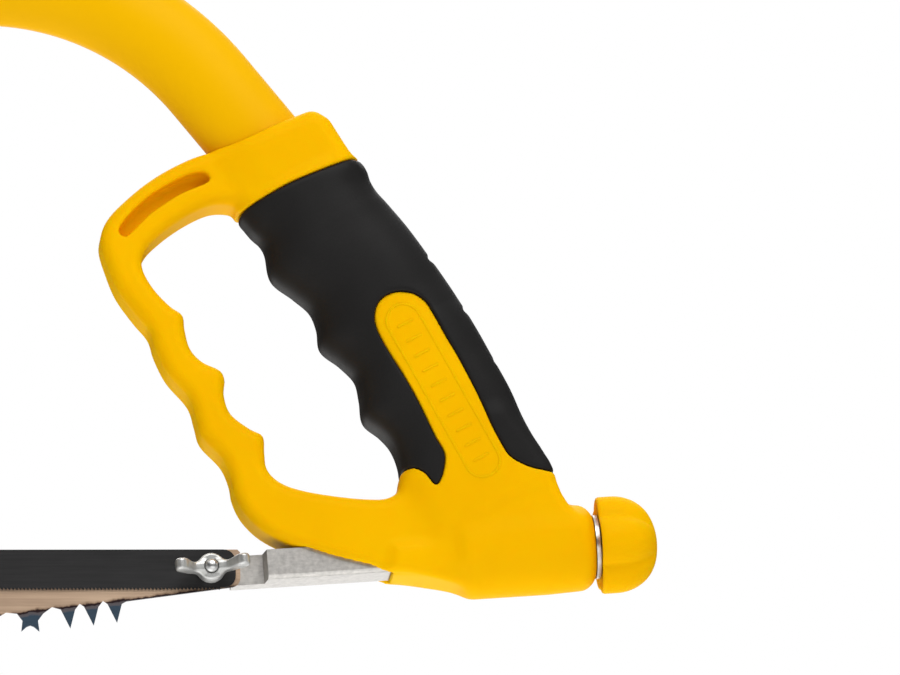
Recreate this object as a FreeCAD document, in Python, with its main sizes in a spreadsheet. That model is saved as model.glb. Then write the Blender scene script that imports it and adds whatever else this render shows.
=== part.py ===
import FreeCAD, Part
import math
import os

# Compact bow saw: an oval steel tube frame, a closed pistol handle moulded round its rear end,
# and two blades side by side, stretched by a threaded rod and a knob.
# X runs along the blades towards the knob, Y across the saw and Z up, in millimetres.
# Every piece is drawn from the axis of the rear blade stud. Its Placement then moves it to the
# row's origin: under the middle of the saw's box, level with the lowest tooth.

V = FreeCAD.Vector
doc = FreeCAD.newDocument("bow_saw")

SIZES = {
    # whole saw
    "stud_height": 20.4, "blade_centres": 300, "nose_reach": 13, "knob_reach": 134.8,
    "tension_tilt": 3.65, "seat_gap": 0.3, "running_gap": 0.05,
    # frame tube
    "tube_wall": 1.5, "tube_depth": 18, "tube_width_rear": 28.2, "tube_width_top": 28.2,
    "tube_width_front": 24, "apex_back": 66, "apex_height": 183.7, "rear_bend": 86.7, "top_bend": 120,
    "front_bend": 62, "rear_slope": 51.5, "top_slope": 14, "front_slope": 80, "tube_in_handle": 86,
    "tongue_top": 34, "tongue_width": 26, "tongue_thick": 3,
    # handle
    "guard_depth": 19, "grip_half_depth": 15.5, "grip_top_x": 31, "grip_top_z": 115,
    "grip_lean": 60.2, "grip_length": 94, "soft_thick": 2.6, "finger_pitch": 25.4,
    "collar_length": 18.6, "collar_depth": 27, "base_depth": 26, "barrel_radius": 13.3,
    "barrel_start": 72, "barrel_end": 115.8, "rod_hole_radius": 4.6, "slide_slot_end": 84,
    "window_width": 15, "inlay_sink": 0.4, "window_start": 41, "window_end": 92, "pin_radius": 2,
    "pin_station": 24, "pin_inset": 0.5, "mouth_chamfer": 2.6,
    # blade carrier: a folded channel with a joggled tongue
    "channel_width": 14, "channel_top": 4.1, "channel_bottom": 4.9, "sheet": 1.6, "tongue_face": 0.5,
    "tongue_back": 8, "web_start": 6, "joggle_start": 16, "joggle_end": 16.9, "channel_end": 76,
    "bend_radius": 1.5, "block_length": 18, "block_start": 55, "rivet_radius": 1.6,
    "rivet_inset": 3, "rivet_spacing": 4.5,
    # tension screw
    "rod_radius": 3, "rod_start": 65, "rod_end": 128, "bush_radius": 4.5, "bush_start": 90,
    "washer_thick": 1.2, "washer_radius": 9.6, "knob_start": 117.6, "knob_radius": 15,
    "knob_skirt": 6, "knob_lobes": 5, "flute_radius": 7, "flute_depth": 1.7, "insert_flats": 12,
    "insert_thick": 7, "insert_flange": 1.2, "insert_flange_radius": 8.5,
    # blade studs, washers and wing nuts
    "stud_radius": 2, "stud_front": 9.6, "head_radius": 4.2, "head_thick": 2.4, "head_edge": 0.6,
    "nut_washer_radius": 4.1, "nut_washer_thick": 0.8, "hub_base_radius": 4.4, "hub_top_radius": 4,
    "hub_height": 4.6, "wing_reach": 11.4, "wing_thick": 2.6, "wing_lift": 7.3, "wing_turn": 4.5,
    # blades
    "wood_thick": 0.8, "metal_thick": 0.65, "wood_top": 6.5, "wood_end": 9, "wood_end_bottom": 5.1,
    "wood_root": 14.2, "wood_taper": 0.1214, "tooth_drop": 6.2, "peg_pitch": 7, "raker_gap": 12,
    "first_peg": 28.1, "raker_half": 2.7, "group_pegs": 4, "gullet_rise": 1,
    "metal_top": 6.4, "metal_bottom": 6, "metal_end": 7.6, "metal_pitch": 1.1, "metal_tooth": 0.8,
    "metal_corner": 3.6, "wood_corner": 3, "blade_hole_radius": 2.1, "front_slot_radius": 2.3,
    "slide_travel": 5,
}

sheet = doc.addObject("Spreadsheet::Sheet", "sizes")
for row, (alias, value) in enumerate(SIZES.items(), start=1):
    sheet.set("A%d" % row, alias)
    sheet.set("B%d" % row, str(value))
    sheet.setAlias("B%d" % row, alias)
doc.recompute()


def size(alias):
    """A driving dimension, read back from the sheet."""
    return float(getattr(sheet, alias))


def bind(item, **sizes):
    """Tie properties of an object to expressions in the sheet's aliases."""
    for name, expression in sizes.items():
        words = expression.split(" ")
        tied = " ".join("sizes." + word if word in SIZES else word for word in words)
        item.setExpression(name.replace("__", "."), tied)


# Where the row's origin lies, seen from the rear stud
ORIGIN_X = (size("blade_centres") + size("nose_reach") - size("knob_reach")) / 2
ORIGIN = V(ORIGIN_X, 0, size("stud_height"))
LEVEL = FreeCAD.Placement(ORIGIN, FreeCAD.Rotation())
TILTED = FreeCAD.Placement(ORIGIN, FreeCAD.Rotation(V(0, 1, 0), -size("tension_tilt")))
PIECES = []


def keep(item, label, placement=LEVEL):
    """Name an object as one sub-part of the saw and put it in its place."""
    item.Label = label
    item.Placement = placement.multiply(item.Placement)
    PIECES.append(item)
    return item


def keep_shape(shape, label, placement=LEVEL):
    """Store a shape made with Part's functions as one sub-part."""
    item = doc.addObject("Part::Feature", label)
    item.Shape = shape
    return keep(item, label, placement)


# ---------------------------------------------------------------- shared geometry

def spline(points, closed=False):
    """A smooth edge through (x, z) points in the saw's middle plane."""
    curve = Part.BSplineCurve()
    vectors = [V(x, 0, z) for x, z in points]
    curve.interpolate(Points=vectors, PeriodicFlag=closed)
    return curve.toShape()


def polygon(points):
    """A closed wire of straight edges through (x, z) points."""
    vectors = [V(x, 0, z) for x, z in points]
    return Part.makePolygon(vectors + vectors[:1])


def plate(wires, depth, front=None):
    """A plate across Y, centred, or with its front face at the given y."""
    start = -depth / 2 if front is None else front
    solid = Part.Face(wires).extrude(V(0, depth, 0))
    solid.translate(V(0, start, 0))
    return solid


def cylinder(radius, start, end, axis=V(1, 0, 0), at=V(0, 0, 0)):
    """A cylinder along an axis, from one distance to another."""
    return Part.makeCylinder(radius, end - start, at + axis * start, axis)


def slot_wire(start, end, radius):
    """The outline of a round-ended slot in the middle plane."""
    along = V(end[0] - start[0], 0, end[1] - start[1])
    along.normalize()
    side = V(-along.z, 0, along.x) * radius
    first = V(start[0], 0, start[1])
    last = V(end[0], 0, end[1])
    edges = [
        Part.LineSegment(first + side, last + side).toShape(),
        Part.Arc(last + side, last + along * radius, last - side).toShape(),
        Part.LineSegment(last - side, first - side).toShape(),
        Part.Arc(first - side, first - along * radius, first + side).toShape(),
    ]
    return Part.Wire(edges)


# turns of a primitive's own Z: to run along the saw, and to run across it
ALONG = FreeCAD.Rotation(V(0, 1, 0), 90)
ACROSS = FreeCAD.Rotation(V(1, 0, 0), -90)


def bar(name, radius, length, at, turn):
    """A round bar bound to the sheet, from a point."""
    item = doc.addObject("Part::Cylinder", name)
    bind(item, Radius=radius, Height=length)
    item.Placement = FreeCAD.Placement(at, turn)
    return item


def join(name, items):
    """Several objects fused into one."""
    whole = doc.addObject("Part::MultiFuse", name)
    whole.Shapes = items
    whole.Refine = True
    return whole


def cut(name, base, tool):
    """One object cut by another."""
    whole = doc.addObject("Part::Cut", name)
    whole.Base = base
    whole.Tool = tool
    return whole


def ring(label, radius, hole, length, at, turn, placement):
    """A washer or bush, cut from two bars."""
    outside = bar(label + "_outside", radius, length, at, turn)
    inside = bar(label + "_inside", hole, length, at, turn)
    return keep(cut(label, outside, inside), label, placement)


# ---------------------------------------------------------------- frame tube

def tube_path():
    """The tube's centre line from the handle to the nose, as runs of (length, bend radius)."""
    front_drop = math.radians(size("front_slope"))
    top_drop = math.radians(size("top_slope"))
    turn = front_drop - top_drop
    bend = size("front_bend")
    # the start of the long straight run, past the top bend
    x = -size("apex_back") - size("top_bend") * math.sin(top_drop)
    z = size("apex_height") - size("top_bend") * (1 - math.cos(top_drop))
    # what the front bend covers
    bend_x = bend * (math.sin(front_drop) - math.sin(top_drop))
    bend_z = bend * (math.cos(top_drop) - math.cos(front_drop))
    # the long run ends where the last run, down to the nose, meets the front stud's line
    room_x = size("blade_centres") + x - bend_x
    room_z = z - bend_z - size("tongue_top")
    lean = 1 / math.tan(front_drop)
    long_run = (room_x - room_z * lean) / (math.cos(top_drop) - math.sin(top_drop) * lean)
    last_run = (room_z - long_run * math.sin(top_drop)) / math.sin(front_drop)
    return [
        (size("tube_in_handle"), 0),
        (math.radians(size("rear_slope")) * size("rear_bend"), size("rear_bend")),
        (top_drop * size("top_bend"), size("top_bend")),
        (long_run, 0),
        (turn * bend, bend),
        (last_run, 0),
    ]


def tube_stations(step):
    """Points along the centre line: (x, z, heading, distance), from the handle to the nose."""
    runs = tube_path()
    rear = math.radians(size("rear_slope"))
    heading = math.pi - rear
    start_x = -size("apex_back") + size("rear_bend") * math.sin(rear)
    start_z = size("apex_height") - size("rear_bend") * (1 - math.cos(rear))
    x = start_x - math.cos(heading) * size("tube_in_handle")
    z = start_z - math.sin(heading) * size("tube_in_handle")
    travelled = 0
    stations = [(x, z, heading, travelled)]
    for length, bend in runs:
        count = max(2, round(length / step))
        for _ in range(count):
            piece = length / count
            turn = piece / bend if bend else 0
            chord = 2 * bend * math.sin(turn / 2) if bend else piece
            x += chord * math.cos(heading + turn / 2)
            z += chord * math.sin(heading + turn / 2)
            heading += turn
            travelled += piece
            stations.append((x, z, heading, travelled))
    return stations


def tube_width(distance, whole):
    """The tube's width in the saw's plane: widest in the handle, slimmest at the nose."""
    rear = size("tube_width_rear")
    top = size("tube_width_top")
    front = size("tube_width_front")
    taper_start = size("tube_in_handle")
    taper_end = taper_start + size("rear_bend")
    if distance < taper_end:
        share = max(0, distance - taper_start) / (taper_end - taper_start)
        return rear + (top - rear) * share
    share = (distance - taper_end) / (whole - taper_end)
    return top + (front - top) * share


def oval(x, z, heading, half_width, half_depth):
    """An oval section square to the tube's run."""
    across = V(-math.sin(heading), 0, math.cos(heading))
    curve = Part.Ellipse(
        V(x, 0, z) + across * half_width, V(x, half_depth, z), V(x, 0, z))
    return Part.Wire([curve.toShape()])


def tube_solid(inset):
    """The tube's solid, its surface set in by the given amount."""
    stations = tube_stations(18)
    whole = stations[-1][3]
    runs = []
    start = 0
    for length, bend in tube_path():
        inside = [s for s in stations if start - 0.01 < s[3] < start + length + 0.01]
        wires = []
        for x, z, heading, distance in inside if bend else (inside[0], inside[-1]):
            half_width = tube_width(distance, whole) / 2 - inset
            half_depth = size("tube_depth") / 2 - inset
            wires.append(oval(x, z, heading, half_width, half_depth))
        runs.append(Part.makeLoft(wires, True, not bend))
        start += length
    # the last stretch is pressed flat to the tongue
    flat_z = stations[-1][1] - size("tongue_width") * 0.62
    flat_half = max(size("tongue_thick") / 2 - inset, 0.3)
    pressed = oval(-size("blade_centres"), flat_z, heading, size("tongue_width") / 2 - inset, flat_half)
    runs.append(Part.makeLoft([wires[-1], pressed], True, True))
    return runs[0].fuse(runs[1:])


def tongue_front():
    """The y of the pressed tongue's face, just behind the blades."""
    return -size("tongue_face") + size("seat_gap")


def make_frame_tube():
    """The oval tube, open in the handle and pressed flat at the nose to carry the front stud."""
    nose = -size("blade_centres")
    half = size("tongue_width") / 2
    tongue = plate([slot_wire((nose, size("tongue_top") - half), (nose, 0), half)],
                   size("tongue_thick"), tongue_front())
    hollow = tube_solid(size("tube_wall"))
    tube = tube_solid(0).fuse(tongue).cut(hollow)
    hole = cylinder(size("stud_radius"), -20, 20, V(0, 1, 0), V(nose, 0, 0))
    keep_shape(tube.cut([hole, pin_solid()]).removeSplitter(), "frame_tube")


# ---------------------------------------------------------------- handle

def grip_point(along, across):
    """A point of the handle, along the grip's axis and across it towards the palm."""
    lean = math.radians(size("grip_lean"))
    x = size("grip_top_x") + along * math.cos(lean) + across * math.sin(lean)
    z = size("grip_top_z") - along * math.sin(lean) + across * math.cos(lean)
    return x, z


def finger_side(along):
    """How far the grip's front reaches, with its finger hollows."""
    ridge = 16.5
    swell = 1.9 * math.cos(2 * math.pi * (along - ridge) / size("finger_pitch"))
    return 18.9 + swell


def palm_side(along):
    """How far the grip's back reaches: a long bow."""
    return 24.2 - 0.0016 * (along - 52) ** 2


def grip_section(along, inset):
    """A rounded section of the grip."""
    front = finger_side(along) - inset
    back = palm_side(along) - inset
    half = size("grip_half_depth") - inset
    middle = (back - front) / 2
    reach = (back + front) / 2
    points = []
    corners = 20
    fullness = 2 / 2.4
    for k in range(corners):
        angle = 2 * math.pi * k / corners
        c = math.cos(angle)
        d = math.sin(angle)
        across = middle + reach * math.copysign(abs(c) ** fullness, c)
        y = half * math.copysign(abs(d) ** fullness, d)
        x, z = grip_point(along, across)
        points.append(V(x, y, z))
    curve = Part.BSplineCurve()
    curve.interpolate(Points=points, PeriodicFlag=True)
    return Part.Wire([curve.toShape()])


def grip_solid(start, end, inset):
    """The grip between two stations on its axis."""
    count = math.ceil((end - start) / (size("finger_pitch") / 4))
    step = (end - start) / count
    wires = [grip_section(start + step * k, inset) for k in range(count + 1)]
    return Part.makeLoft(wires, True, False)


def guard_outer():
    """The outside of the knuckle guard, from the collar round to the foot of the handle."""
    return [(14, 131.5), (-0.6, 130.9), (-7.8, 127.2), (-15.8, 122.5), (-21.9, 118.2), (-27.4, 112.9),
            (-30.8, 107.9), (-32.1, 100.4), (-30.1, 92.9), (-26.9, 85.4), (-21.8, 78), (-16.5, 70.5),
            (-14.2, 63.1), (-9.2, 55.6), (-4.5, 48.2), (-2.5, 40.8), (3.7, 33.3), (6.3, 25.9),
            (8.9, 18.5), (15.4, 10.6), (24, 6.2), (38, 3), (56, -3)]


def guard_inner():
    """The hand opening's edge: under the upper arm, down the finger bumps, along the lower arm."""
    return [(18, 109), (8, 111), (0.5, 111.9), (-6.3, 107.9), (-13.6, 102.6), (-18.6, 97.2),
            (-19.2, 92.2), (-16.3, 86.1), (-11.3, 80.5), (-7.4, 77.4), (-6.8, 71.6), (-4.6, 65.7),
            (0.1, 62), (4.3, 59.6), (4.6, 53.6), (5.3, 49), (8.3, 45.3), (14.5, 41.6), (16.5, 37.6),
            (16.6, 32), (20, 26.8), (28, 23.3), (40, 21.4), (52, 20.8), (62, 24)]


def guard_solid():
    """The flat loop of the knuckle guard."""
    outer = guard_outer()
    inner = guard_inner()
    closing = [
        Part.LineSegment(V(outer[-1][0], 0, outer[-1][1]), V(inner[-1][0], 0, inner[-1][1])).toShape(),
        Part.LineSegment(V(inner[0][0], 0, inner[0][1]), V(outer[0][0], 0, outer[0][1])).toShape(),
    ]
    wire = Part.Wire(Part.__sortEdges__([spline(outer), spline(inner)] + closing))
    return plate([wire], size("guard_depth"))


def guard_recess():
    """The shallow curved slot in each face of the upper arm."""
    upper = [(-25.6, 104.6), (-18.6, 112.2), (-10, 117.6), (-1, 121)]
    lower = [(-23.4, 102.4), (-16.4, 109), (-8.4, 114), (0, 117.6)]
    ends = [
        Part.Arc(V(-25.6, 0, 104.6), V(-25.9, 0, 102.2), V(-23.4, 0, 102.4)).toShape(),
        Part.Arc(V(0, 0, 117.6), V(1, 0, 119.8), V(-1, 0, 121)).toShape(),
    ]
    wire = Part.Wire(Part.__sortEdges__([spline(upper), spline(lower)] + ends))
    depth = 4
    face = size("guard_depth") / 2
    return [plate([wire], depth, -face), plate([wire], depth, face - depth)]


def collar_solid():
    """The block round the tube where it enters the handle."""
    top = -size("collar_length") - 3.7
    outline = [grip_point(top, -21), grip_point(top, 10.5), grip_point(top + 4.6, 16.8),
               grip_point(top + 9, 18.6), grip_point(2, 20), grip_point(2, -21.5)]
    return plate([polygon(outline)], size("collar_depth"))


def base_solid():
    """The foot of the handle, between the grip, the lower arm and the barrel."""
    outline = [(52, 21), (57, 26), (58, 32), (62, 44), (90, 52), (99, 36), (104, 30), (107, 21),
               (108, -5), (77, -7.5), (60, -4.5), (52, -2)]
    return plate([polygon(outline)], size("base_depth"))


def barrel_solid():
    """The round housing of the tension screw, along the tilted axis."""
    radius = size("barrel_radius")
    edge = size("mouth_chamfer")
    body = cylinder(radius, size("barrel_start"), size("barrel_end") - edge)
    mouth = Part.makeCone(radius, radius - edge, edge, V(size("barrel_end") - edge, 0, 0), V(1, 0, 0))
    return tilt(body.fuse(mouth))


def tilt(shape):
    """Turn a shape drawn along the tension axis to its slope."""
    shape.rotate(V(0, 0, 0), V(0, 1, 0), -size("tension_tilt"))
    return shape


def window_solid():
    """The opening through the soft grip for the hard inlays."""
    reach = size("window_width") / 2
    wire = slot_wire(grip_point(size("window_start"), 2), grip_point(size("window_end"), 2), reach)
    return plate([wire], 2 * size("grip_half_depth") + 4)


def pin_solid():
    """The hole for the cross pin that holds the tube in the handle."""
    x, z = grip_point(size("pin_station"), 3)
    half = size("grip_half_depth") - size("soft_thick") - size("pin_inset")
    return cylinder(size("pin_radius"), -half, half, V(0, 1, 0), V(x, 0, z))


def slide_slot():
    """The slot that guides the blade carrier, open below the lower arm."""
    gap = size("seat_gap")
    half = size("channel_width") / 2 + gap
    top = size("channel_top") + gap
    bottom = size("channel_bottom") + gap
    slot = Part.makeBox(size("slide_slot_end") - 5, 2 * half, top + bottom, V(5, -half, -bottom))
    mouth = Part.makeBox(52, 2 * half, bottom + 12, V(0, -half, -bottom - 12))
    return tilt(slot.fuse(mouth))


def make_handle_body():
    """The hard moulding: guard, collar, core under the soft grip, foot and barrel."""
    core = grip_solid(-4, size("grip_length") + 4, size("soft_thick"))
    inlays = window_solid().common(grip_solid(-4, size("grip_length") + 4, size("inlay_sink")))
    solid = guard_solid().fuse([core, collar_solid(), base_solid(), barrel_solid(), inlays])
    bore = tilt(cylinder(size("rod_hole_radius"), size("slide_slot_end") - 5, size("knob_start")))
    solid = solid.cut([tube_solid(0), bore, slide_slot(), pin_solid()] + guard_recess())
    keep_shape(solid.removeSplitter(), "handle_body")


def make_soft_grip():
    """The soft sleeve over the core, open at the inlays."""
    sleeve = grip_solid(-2, size("grip_length") - 6, 0)
    below = plate([polygon([(40, 36), (62, 40), (68, 24), (75, 44), (92, 34), (120, 20), (120, -40),
                            (40, -40)])], 60)
    sleeve = sleeve.cut([grip_solid(-4, size("grip_length") + 4, size("soft_thick")), window_solid(),
                         below, guard_solid(), base_solid(), collar_solid(), tube_solid(0)])
    solid = max(sleeve.Solids, key=lambda piece: piece.Volume)
    keep_shape(solid, "soft_grip")


def make_retaining_pin():
    """The cross pin through the core and the tube."""
    x, z = grip_point(size("pin_station"), 3)
    half = size("grip_half_depth") - size("soft_thick") - size("pin_inset")
    length = "2 * grip_half_depth - 2 * soft_thick - 2 * pin_inset"
    keep(bar("retaining_pin", "pin_radius", length, V(x, -half, z), ACROSS), "retaining_pin")


# ---------------------------------------------------------------- tension screw

def make_screw_rings():
    """The bush in the barrel's mouth and the thrust washer under the knob."""
    clear = "rod_radius + running_gap"
    ring("barrel_bush", "rod_hole_radius", clear, "barrel_end - bush_start",
         V(size("bush_start"), 0, 0), ALONG, TILTED)
    ring("thrust_washer", "washer_radius", clear, "washer_thick", V(size("barrel_end"), 0, 0),
         ALONG, TILTED)


def make_tension_rod():
    """The threaded rod, drawn as its outside diameter."""
    rod = bar("tension_rod", "rod_radius", "rod_end - rod_start", V(size("rod_start"), 0, 0), ALONG)
    keep(rod, "tension_rod", TILTED)


def attach(body, sketch, role):
    """Fix a sketch to one of its body's own origin planes."""
    plane = next(p for p in body.Origin.OriginFeatures if p.Role == role)
    sketch.AttachmentSupport = [(plane, "")]
    sketch.MapMode = "FlatFace"


def knob_profile(sketch):
    """Half of the knob's section: a straight skirt and a domed end."""
    start = size("knob_start")
    skirt = start + size("knob_skirt")
    end = size("knob_reach")
    radius = size("knob_radius")
    flat = radius * 0.34
    sketch.addGeometry([
        Part.LineSegment(V(start, 0, 0), V(start, radius, 0)),
        Part.LineSegment(V(start, radius, 0), V(skirt, radius, 0)),
        Part.Arc(V(skirt, radius, 0), V(skirt + 8.2, radius * 0.72, 0), V(end, flat, 0)),
        Part.LineSegment(V(end, flat, 0), V(end, 0, 0)),
        Part.LineSegment(V(end, 0, 0), V(start, 0, 0)),
    ])


def make_tension_knob(insert):
    """The lobed knob: a turned dome, five long flutes, and the seat of its threaded insert."""
    body = doc.addObject("PartDesign::Body", "knob_form")
    profile = body.newObject("Sketcher::SketchObject", "knob_section")
    attach(body, profile, "XZ_Plane")
    knob_profile(profile)
    dome = body.newObject("PartDesign::Revolution", "knob_dome")
    dome.Profile = profile
    dome.ReferenceAxis = (profile, ["H_Axis"])
    dome.Angle = 360
    doc.recompute()
    full = dome.Shape.Volume

    flute_sketch = body.newObject("Sketcher::SketchObject", "flute_outline")
    attach(body, flute_sketch, "YZ_Plane")
    reach = size("knob_radius") + size("flute_radius") - size("flute_depth")
    turn = math.pi / size("knob_lobes")
    centre = V(-reach * math.cos(turn), reach * math.sin(turn), 0)
    flute_sketch.addGeometry(Part.Circle(centre, V(0, 0, 1), size("flute_radius")))
    flute = body.newObject("PartDesign::Pocket", "flute")
    flute.Profile = flute_sketch
    flute.Type = 1
    flute.Midplane = True
    flutes = body.newObject("PartDesign::PolarPattern", "flutes")
    flutes.Originals = [flute]
    flutes.Axis = (flute_sketch, ["N_Axis"])
    bind(flutes, Occurrences="knob_lobes")
    body.Tip = flutes
    doc.recompute()
    if not flutes.Shape.Volume < full - 5:
        raise RuntimeError("the knob's flutes cut nothing")
    start = V(size("knob_start"), 0, 0)
    rod_room = bar("rod_room", "rod_radius + seat_gap", "rod_end + 1 - knob_start", start, ALONG)
    keep(cut("knob_hollowed", body, join("knob_room", [insert, rod_room])), "tension_knob", TILTED)


def make_insert_form():
    """The insert's outside: a hexagon behind a round flange, flush with the knob's face."""
    flange = bar("insert_flange_form", "insert_flange_radius", "insert_flange",
                 V(size("knob_start"), 0, 0), ALONG)
    hexagon = doc.addObject("Part::Prism", "insert_hexagon")
    hexagon.Polygon = 6
    bind(hexagon, Circumradius="insert_flats / sqrt(3)", Height="insert_flange + insert_thick")
    hexagon.Placement = FreeCAD.Placement(V(size("knob_start"), 0, 0), ALONG)
    return join("insert_form", [flange, hexagon])


def make_knob_insert(form):
    """The threaded insert that turns on the rod."""
    thread = bar("insert_thread", "rod_radius + running_gap", "insert_flange + insert_thick",
                 V(size("knob_start"), 0, 0), ALONG)
    keep(cut("knob_insert", form, thread), "knob_insert", TILTED)


# ---------------------------------------------------------------- blade carrier

def plan_sketch(body, name, points):
    """A closed outline seen from above, in the body's own XY plane."""
    sketch = body.newObject("Sketcher::SketchObject", name)
    attach(body, sketch, "XY_Plane")
    corners = [V(x, y, 0) for x, y in points]
    lines = [Part.LineSegment(a, b) for a, b in zip(corners, corners[1:] + corners[:1])]
    sketch.addGeometry(lines)
    return sketch


def pad(body, sketch, name, height):
    """A pad whose height follows the sheet."""
    item = body.newObject("PartDesign::Pad", name)
    item.Profile = sketch
    bind(item, Length=height)
    return item


def make_blade_carrier():
    """The folded channel: its front flange steps back to a tongue that lies behind the blades."""
    body = doc.addObject("PartDesign::Body", "channel_form")
    half = size("channel_width") / 2
    sheet_thick = size("sheet")
    face = -size("tongue_face")
    tip = -size("tongue_back")
    step_start = size("joggle_start")
    step_end = size("joggle_end")
    end = size("channel_end")
    front = [(tip, face), (step_start, face), (step_end, -half), (end, -half),
             (end, -half + sheet_thick), (step_end + sheet_thick, -half + sheet_thick),
             (step_start + sheet_thick, face + sheet_thick), (tip, face + sheet_thick)]
    start = size("web_start")
    web = [(start, face), (step_start, face), (step_end, -half), (end, -half), (end, half),
           (start, half)]
    rear = [(start, half - sheet_thick), (end, half - sheet_thick), (end, half), (start, half)]
    pad(body, plan_sketch(body, "web_plan", web), "web", "sheet")
    doc.recompute()
    for name, plan in (("front_flange", front), ("rear_flange", rear)):
        pad(body, plan_sketch(body, name + "_plan", plan), name, "channel_top + channel_bottom")
    doc.recompute()
    channel = rounded_bends(body.Shape)
    channel.translate(V(0, 0, -size("channel_bottom")))
    # the tongue's end is rounded about the stud
    tip_box = Part.makeBox(8, 10, 20, V(tip - 1, -5, -10))
    radius = (size("channel_top") + size("channel_bottom")) / 2 + 0.6
    keep_round = cylinder(radius, -10, 10, V(0, 1, 0), V(tip + radius, 0, -0.4))
    channel = channel.cut(tip_box.cut(keep_round))
    holes = [cylinder(size("stud_radius"), -10, 3, V(0, 1, 0))]
    holes += [cylinder(size("rivet_radius"), -half, half, V(0, 1, 0), V(x, 0, 0)) for x in rivet_places()]
    keep_shape(channel.cut(holes).removeSplitter(), "blade_carrier", TILTED)


def rounded_bends(channel):
    """The channel with its two long folded edges rounded on the outside."""
    bends = []
    for edge in channel.Edges:
        box = edge.BoundBox
        low = box.ZMax < 0.01
        outer = abs(abs(box.Center.y) - size("channel_width") / 2) < 0.01
        if low and outer and box.XLength > size("channel_end") / 2:
            bends.append(edge)
    return channel.makeFillet(size("bend_radius"), bends)


def rivet_places():
    """Where the two rivets cross the channel, ahead of the rod's end."""
    first = size("block_start") + size("rivet_inset")
    return [first, first + size("rivet_spacing")]


def make_rivets(name):
    """Two rivet shanks across the channel."""
    start = -size("channel_width") / 2
    return join(name, [bar("%s_%d" % (name, k), "rivet_radius", "channel_width", V(x, start, 0), ACROSS)
                       for k, x in enumerate(rivet_places())])


def make_rod_block():
    """The block riveted into the channel, which the rod is screwed into."""
    corner = V(size("block_start"), size("sheet") - size("channel_width") / 2,
               size("sheet") - size("channel_bottom"))
    block = doc.addObject("Part::Box", "block_blank")
    bind(block, Length="block_length", Width="channel_width - 2 * sheet",
         Height="channel_top + channel_bottom - sheet")
    block.Placement = FreeCAD.Placement(corner, FreeCAD.Rotation())
    thread = bar("block_thread", "rod_radius", "block_length", V(size("rod_start"), 0, 0), ALONG)
    holes = join("block_holes", [thread, make_rivets("rivet_holes")])
    keep(cut("rod_block", block, holes), "rod_block", TILTED)
    keep(make_rivets("block_rivets"), "block_rivets", TILTED)


# ---------------------------------------------------------------- studs, washers and wing nuts

def make_stud(label, x, backing):
    """A blade stud: its shank through the tongue and the blades, its head behind."""
    seat = sum(size(word) for word in backing.split(" + ")) - size("tongue_face")
    shank = bar(label + "_shank", "stud_radius", "stud_front - tongue_face + " + backing,
                V(x, -size("stud_front"), 0), ACROSS)
    head = bar(label + "_head", "head_radius", "head_thick", V(x, seat, 0), ACROSS)
    crown = doc.addObject("Part::Cone", label + "_crown")
    bind(crown, Radius1="head_radius", Radius2="head_radius - head_edge", Height="head_edge")
    crown.Placement = FreeCAD.Placement(V(x, seat + size("head_thick"), 0), ACROSS)
    keep(join(label, [shank, head, crown]), label)


def blade_face():
    """The y of the foremost blade's face."""
    return -size("tongue_face") - size("wood_thick") - size("metal_thick")


def wing_outline(side):
    """One wing seen from the front of the nut's edge: x outwards, second value up from its seat."""
    reach = size("wing_reach")
    lift = size("wing_lift")
    height = size("hub_height")
    return [(side * 2.9, 0.5), (side * 6, 1.6), (side * 8.6, 3.2), (side * reach, height + 0.2),
            (side * (reach - 0.4), height + lift - 1.4), (side * (reach - 2.4), height + lift),
            (side * (reach - 4.4), height + lift - 0.8), (side * 5.4, height - 0.6), (side * 2.9, height)]


def make_wing_nut(label, x):
    """A wing nut: a tapered hub and two wings that sweep outwards."""
    seat = blade_face() - size("seat_gap") - size("nut_washer_thick") - size("seat_gap") / 2
    hub = Part.makeCone(size("hub_base_radius"), size("hub_top_radius"), size("hub_height"),
                        V(0, seat, 0), V(0, -1, 0))
    wings = []
    for side in (1, -1):
        corners = [V(u, seat - rise, -size("wing_thick") / 2) for u, rise in wing_outline(side)]
        face = Part.Face(Part.makePolygon(corners + corners[:1]))
        wings.append(face.extrude(V(0, 0, size("wing_thick"))))
    thread = cylinder(size("stud_radius") + size("running_gap"), seat - 20, seat + 1, V(0, 1, 0))
    nut = hub.fuse(wings).cut(thread)
    nut.rotate(V(0, 0, 0), V(0, 1, 0), -size("wing_turn"))
    nut.translate(V(x, 0, 0))
    keep_shape(nut.removeSplitter(), label)


def make_fasteners():
    """Both ends carry the same stud, washer and wing nut."""
    nose = -size("blade_centres")
    make_stud("rear_blade_stud", 0, "sheet")
    make_stud("front_blade_stud", nose, "seat_gap + tongue_thick")
    washer_face = blade_face() - size("seat_gap") - size("nut_washer_thick")
    for label, x in (("rear", 0), ("front", nose)):
        ring(label + "_washer", "nut_washer_radius", "stud_radius + running_gap", "nut_washer_thick",
             V(x, washer_face, 0), ACROSS, LEVEL)
        make_wing_nut(label + "_wing_nut", x)


# ---------------------------------------------------------------- blades

def blade_holes(front_y, thick):
    """The rear hole and the long front hole, which lets the blades travel with the carrier."""
    nose = -size("blade_centres")
    slope = math.radians(size("tension_tilt"))
    travel = size("slide_travel")
    rear = cylinder(size("blade_hole_radius"), front_y - 1, front_y + thick + 1, V(0, 1, 0))
    far = (nose + travel * math.cos(slope), travel * math.sin(slope))
    front = plate([slot_wire((nose, 0), far, size("front_slot_radius"))], thick + 2, front_y - 1)
    return [rear, front]


def corner_arc(x, z, radius, turn):
    """Points a quarter turn anticlockwise round (x, z), from a start angle in degrees."""
    steps = 6
    angles = [math.radians(turn + 90 * k / steps) for k in range(steps + 1)]
    return [(x + radius * math.cos(angle), z + radius * math.sin(angle)) for angle in angles]


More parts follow.
